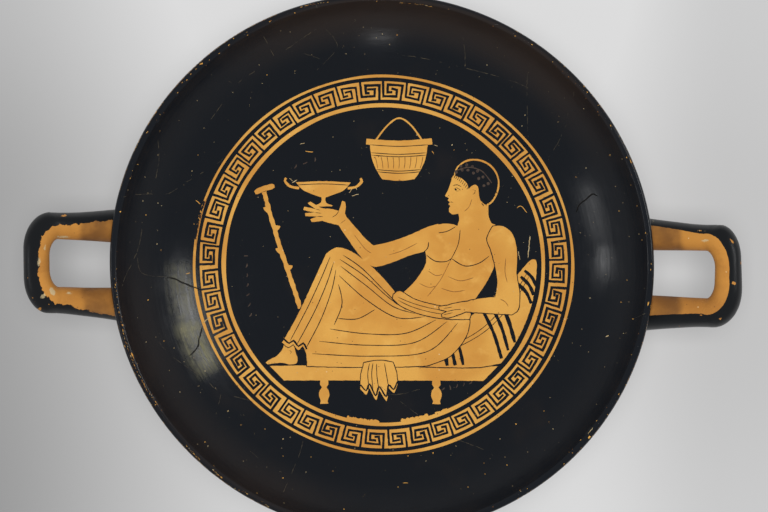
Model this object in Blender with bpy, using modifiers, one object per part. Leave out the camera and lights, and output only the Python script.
"""A Greek drinking cup (kylix), fired as one piece of clay: a wide shallow bowl that runs down in one
curve to a short stem on a disc foot, with two horizontal loop handles that rise to the rim.

Metres, +Z up. The origin is the centre of the foot's underside, and the handles lie along X."""

import math

import bmesh
import bpy

# Bowl
RIM_RADIUS = 0.1200
CUP_HEIGHT = 0.0950
BOWL_DEPTH = 0.0500
RIM_SLOPE = math.radians(50.0)
LIP_THICKNESS = 0.0034
FLOOR_THICKNESS = 0.0068
WALL_TAPER = 1.5

# Stem
STEM_RADIUS = 0.0112
STEM_WAIST_HEIGHT = 0.0225
STEM_JOIN_RADIUS = 0.0290
STEM_JOIN_PULL = 0.75
STEM_WAIST_PULL = 0.50

# Foot
FOOT_RADIUS = 0.0450
FOOT_EDGE_HEIGHT = 0.0060
FOOT_SLOPE = math.radians(9.0)
FOOT_PULL = 0.62
FOOT_RING_WIDTH = 0.0080

# Hollow cone under the foot. The crown is the clay left between its tip and the bowl's underside.
RECESS_CROWN = 0.0150
RECESS_SWEEP = 1.7

# Handles. The drops run down from the rim, and the spans lie between the centre lines of a
# handle's two arms.
HANDLE_THICKNESS = 0.0112
HANDLE_TIP_SPAN = 0.0324
HANDLE_ROOT_SPAN = 0.0372
HANDLE_ROOT_THICKNESS = 0.0205
HANDLE_ROOT_BURIED = 0.0220
HANDLE_TIP_DROP = 0.0020
HANDLE_ROOT_DROP = 0.0280
HANDLE_CORNER_ALONG_ARM = 0.0076
HANDLE_CORNER_ALONG_TIP = 0.0096
HANDLE_RISE = 1.7
HANDLE_FLARE = 2.4

# Each handle's name, its direction about Z, its reach from the rim to the outside of its tip, and
# the tip's lean, in metres outwards per metre along -Y. They are rolled by hand, so they differ a little.
HANDLES = (
    ("handle_right", math.radians(-1.15), 0.0402, 0.04),
    ("handle_left", math.radians(181.0), 0.0395, 0.0),
)

# Facets
TURN_STEPS = 72
INSIDE_STEPS = 14
LIP_STEPS = 6
OUTSIDE_STEPS = 11
STEM_STEPS = 6
FOOT_STEPS = 6
EDGE_STEPS = 5
RECESS_STEPS = 5
ARM_STEPS = 8
CORNER_STEPS = 5
HANDLE_BEVEL_RESOLUTION = 4
MERGE_DISTANCE = 0.00005
SEARCH_STEPS = 50

GLOSS_COLOUR = (0.010, 0.012, 0.016, 1.0)
GLOSS_ROUGHNESS = 0.25


def spread(first, last, steps):
    """Evenly spaced values from first to last, both included."""
    return [first * (1.0 - i / steps) + last * (i / steps) for i in range(steps + 1)]


def arc(centre, radius, first, last, steps):
    """Points of an arc, as (radius, height) pairs, from the first angle to the last."""
    turns = spread(first, last, steps)
    return [(centre[0] + radius * math.cos(t), centre[1] + radius * math.sin(t)) for t in turns]


def bezier(start, start_pull, end_pull, end, steps):
    """Points of a cubic curve, as (radius, height) pairs."""
    corners = (start, start_pull, end_pull, end)
    points = []
    for t in spread(0.0, 1.0, steps):
        s = 1.0 - t
        weights = (s**3, 3 * s * s * t, 3 * s * t * t, t**3)
        points.append(tuple(sum(w * c[k] for w, c in zip(weights, corners)) for k in (0, 1)))
    return points


class Bowl:
    """The bowl's section. Its inside is an arc of an ellipse that meets the lip at RIM_SLOPE, and a
    place on it is named by the ellipse's angle from its lowest point."""

    def __init__(self):
        half_lip = LIP_THICKNESS / 2
        self.lip_centre = (RIM_RADIUS - half_lip, CUP_HEIGHT - half_lip)
        rim_radius = self.lip_centre[0] - half_lip * math.sin(RIM_SLOPE)
        rim_height = self.lip_centre[1] + half_lip * math.cos(RIM_SLOPE)
        self.floor_height = rim_height - BOWL_DEPTH
        cosine = 1.0 / (rim_radius * math.tan(RIM_SLOPE) / BOWL_DEPTH - 1.0)
        self.rim_angle = math.acos(cosine)
        self.half_width = rim_radius / math.sin(self.rim_angle)
        self.half_height = BOWL_DEPTH / (1.0 - cosine)

    def slope(self, angle):
        """How far the wall leans from level."""
        return math.atan2(self.half_height * math.sin(angle), self.half_width * math.cos(angle))

    def across(self, angle, share):
        """A point of the wall, from the inside (share 0) square across to the outside (share 1)."""
        towards_floor = (1.0 - angle / self.rim_angle) ** WALL_TAPER
        wall = share * (LIP_THICKNESS + (FLOOR_THICKNESS - LIP_THICKNESS) * towards_floor)
        radius = self.half_width * math.sin(angle)
        height = self.floor_height + self.half_height * (1.0 - math.cos(angle))
        slope = self.slope(angle)
        return radius + wall * math.sin(slope), height - wall * math.cos(slope)

    def outside_angle(self, wanted, axis):
        """The angle at which the outside reaches a wanted radius (axis 0) or height (axis 1)."""
        low, high = 0.0, self.rim_angle
        for _ in range(SEARCH_STEPS):
            middle = (low + high) / 2
            if self.across(middle, 1.0)[axis] < wanted:
                low = middle
            else:
                high = middle
        return low


def bowl_section(bowl, join_angle):
    """From the middle of the bowl's floor up the inside, over the lip and down to the stem's join."""
    inside = [bowl.across(a, 0.0) for a in spread(0.0, bowl.rim_angle, INSIDE_STEPS)]
    lip_start = math.pi / 2 + RIM_SLOPE
    lip = arc(bowl.lip_centre, LIP_THICKNESS / 2, lip_start, lip_start - math.pi, LIP_STEPS)
    outside = [bowl.across(a, 1.0) for a in spread(bowl.rim_angle, join_angle, OUTSIDE_STEPS)]
    return inside + lip[1:] + outside[1:]


def stem_section(join, join_slope, waist):
    """From the stem's join under the bowl down to its waist."""
    reach = STEM_JOIN_PULL * (join[0] - waist[0])
    join_pull = (join[0] - reach * math.cos(join_slope), join[1] - reach * math.sin(join_slope))
    waist_pull = (waist[0], waist[1] + STEM_WAIST_PULL * (join[1] - waist[1]))
    return bezier(join, join_pull, waist_pull, waist, STEM_STEPS)


def foot_section(waist, recess_top):
    """From the stem's waist over the foot's edge, across its resting ring and up the hollow cone."""
    half_edge = FOOT_EDGE_HEIGHT / 2
    centre = (FOOT_RADIUS - half_edge, half_edge)
    edge = arc(centre, half_edge, math.pi / 2 - FOOT_SLOPE, -math.pi / 2, EDGE_STEPS)
    top = edge[0]
    reach = FOOT_PULL * (top[0] - waist[0])
    waist_pull = (waist[0], waist[1] - FOOT_PULL * (waist[1] - top[1]))
    top_pull = (top[0] - reach * math.cos(FOOT_SLOPE), top[1] + reach * math.sin(FOOT_SLOPE))
    upper = bezier(waist, waist_pull, top_pull, top, FOOT_STEPS)
    ring_inside = centre[0] - FOOT_RING_WIDTH
    recess = [
        (ring_inside * share, recess_top * (1.0 - share) ** RECESS_SWEEP)
        for share in spread(1.0, 0.0, RECESS_STEPS)
    ]
    return upper + edge[1:] + recess


def cup_section(bowl):
    """The whole turned section, from the middle of the bowl's floor to the tip of the hollow cone."""
    join_angle = bowl.outside_angle(STEM_JOIN_RADIUS, 0)
    waist = (STEM_RADIUS, STEM_WAIST_HEIGHT)
    upper = bowl_section(bowl, join_angle)
    stem = stem_section(upper[-1], bowl.slope(join_angle), waist)
    foot = foot_section(waist, bowl.across(0.0, 1.0)[1] - RECESS_CROWN)
    return upper + stem[1:] + foot[1:]


def wall_core_section(bowl):
    """What lies within the middle of the bowl's wall, closed level with the rim's top."""
    wall = [bowl.across(a, 0.5) for a in spread(bowl.rim_angle, 0.0, OUTSIDE_STEPS)]
    return [(0.0, CUP_HEIGHT), (wall[0][0], CUP_HEIGHT)] + wall


def turned(name, section):
    """An object whose section, a list of (radius, height) pairs, is turned about Z."""
    mesh = bpy.data.meshes.new(name)
    corners = [(radius, 0.0, height) for radius, height in section]
    mesh.from_pydata(corners, [(i, i + 1) for i in range(len(corners) - 1)], [])
    obj = bpy.data.objects.new(name, mesh)
    screw = obj.modifiers.new("turn", "SCREW")
    screw.axis = "Z"
    screw.steps = TURN_STEPS
    screw.render_steps = TURN_STEPS
    screw.use_merge_vertices = True
    screw.merge_threshold = MERGE_DISTANCE
    screw.use_smooth_shade = True
    return obj


def handle_half_plan(root_x, tip_x):
    """Half of a handle's centre line seen from above, from its buried end to the middle of its tip."""
    root_half = HANDLE_ROOT_SPAN / 2
    tip_half = HANDLE_TIP_SPAN / 2
    points = [(root_x - HANDLE_ROOT_BURIED, root_half)]
    corner_x = tip_x - HANDLE_CORNER_ALONG_ARM
    corner_y = tip_half - HANDLE_CORNER_ALONG_TIP
    for share in spread(0.0, 1.0, ARM_STEPS):
        ease = share * share * (3.0 - 2.0 * share)
        points.append((root_x + (corner_x - root_x) * share, root_half + (tip_half - root_half) * ease))
    for turn in spread(math.pi / 2, 0.0, CORNER_STEPS)[1:]:
        x = corner_x + HANDLE_CORNER_ALONG_ARM * math.cos(turn)
        y = corner_y + HANDLE_CORNER_ALONG_TIP * math.sin(turn)
        points.append((x, y))
    return points


def handle_path(bowl, reach, lean):
    """The points of a handle that reaches along +X, each with the tube's thickness there."""
    root_z = CUP_HEIGHT - HANDLE_ROOT_DROP
    tip_z = CUP_HEIGHT - HANDLE_TIP_DROP - HANDLE_THICKNESS / 2
    wall_radius = bowl.across(bowl.outside_angle(root_z, 1), 1.0)[0]
    root_x = math.sqrt(wall_radius**2 - (HANDLE_ROOT_SPAN / 2) ** 2)
    tip_x = RIM_RADIUS + reach - HANDLE_THICKNESS / 2
    half = handle_half_plan(root_x, tip_x)
    path = []
    for x, y in half + [(x, -y) for x, y in reversed(half)]:
        share = min(1.0, max(0.0, (x - root_x) / (tip_x - root_x)))
        flare = (1.0 - share) ** HANDLE_FLARE
        thickness = HANDLE_THICKNESS + (HANDLE_ROOT_THICKNESS - HANDLE_THICKNESS) * flare
        path.append((x - lean * y * share, y, root_z + (tip_z - root_z) * share**HANDLE_RISE, thickness))
    return path


def handle(name, path, turn):
    """A round tube along a handle's path, turned about Z."""
    curve = bpy.data.curves.new(name, "CURVE")
    curve.dimensions = "3D"
    curve.bevel_depth = HANDLE_THICKNESS / 2
    curve.bevel_resolution = HANDLE_BEVEL_RESOLUTION
    curve.use_fill_caps = True
    spline = curve.splines.new("POLY")
    spline.points.add(len(path) - 1)
    for point, (x, y, z, thickness) in zip(spline.points, path):
        point.co = (x, y, z, 1.0)
        point.radius = thickness / HANDLE_THICKNESS
    tube = bpy.data.objects.new(name + "_curve", curve)
    tube.rotation_euler.z = turn
    return as_mesh(name, tube)


def as_mesh(name, curve_object):
    """A mesh object in place of a curve object, with the curve's loose caps welded on."""
    bpy.context.scene.collection.objects.link(curve_object)
    bpy.context.view_layer.update()
    evaluated = curve_object.evaluated_get(bpy.context.evaluated_depsgraph_get())
    mesh = bpy.data.meshes.new_from_object(evaluated)
    welded = bmesh.new()
    welded.from_mesh(mesh)
    bmesh.ops.remove_doubles(welded, verts=welded.verts, dist=MERGE_DISTANCE)
    welded.to_mesh(mesh)
    welded.free()
    obj = bpy.data.objects.new(name, mesh)
    obj.matrix_world = curve_object.matrix_world
    bpy.data.objects.remove(curve_object)
    return obj


def boolean(obj, operation, other):
    """A Boolean of one object with another, which becomes a guide that isn't part of the model."""
    modifier = obj.modifiers.new(other.name, "BOOLEAN")
    modifier.operation = operation
    modifier.solver = "EXACT"
    modifier.object = other
    other.hide_render = True
    other.display_type = "WIRE"


def gloss_material():
    """The black gloss slip that covers most of the cup."""
    material = bpy.data.materials.new("black_gloss")
    material.use_nodes = True
    shader = material.node_tree.nodes["Principled BSDF"]
    shader.inputs["Base Color"].default_value = GLOSS_COLOUR
    shader.inputs["Roughness"].default_value = GLOSS_ROUGHNESS
    shader.inputs["Metallic"].default_value = 0.0
    return material


def collection(name):
    """A new collection in the scene."""
    made = bpy.data.collections.new(name)
    bpy.context.scene.collection.children.link(made)
    return made


def build():
    """The cup, with both handles joined to it."""
    for obj in list(bpy.data.objects):
        bpy.data.objects.remove(obj)
    parts = collection("kylix")
    guides = collection("guides")
    bowl = Bowl()

    cup = turned("kylix", cup_section(bowl))
    cup.data.materials.append(gloss_material())
    parts.objects.link(cup)

    wall_core = turned("wall_core", wall_core_section(bowl))
    guides.objects.link(wall_core)
    for name, turn, reach, lean in HANDLES:
        loop = handle(name, handle_path(bowl, reach, lean), turn)
        guides.objects.link(loop)
        boolean(loop, "DIFFERENCE", wall_core)
        boolean(cup, "UNION", loop)


build()
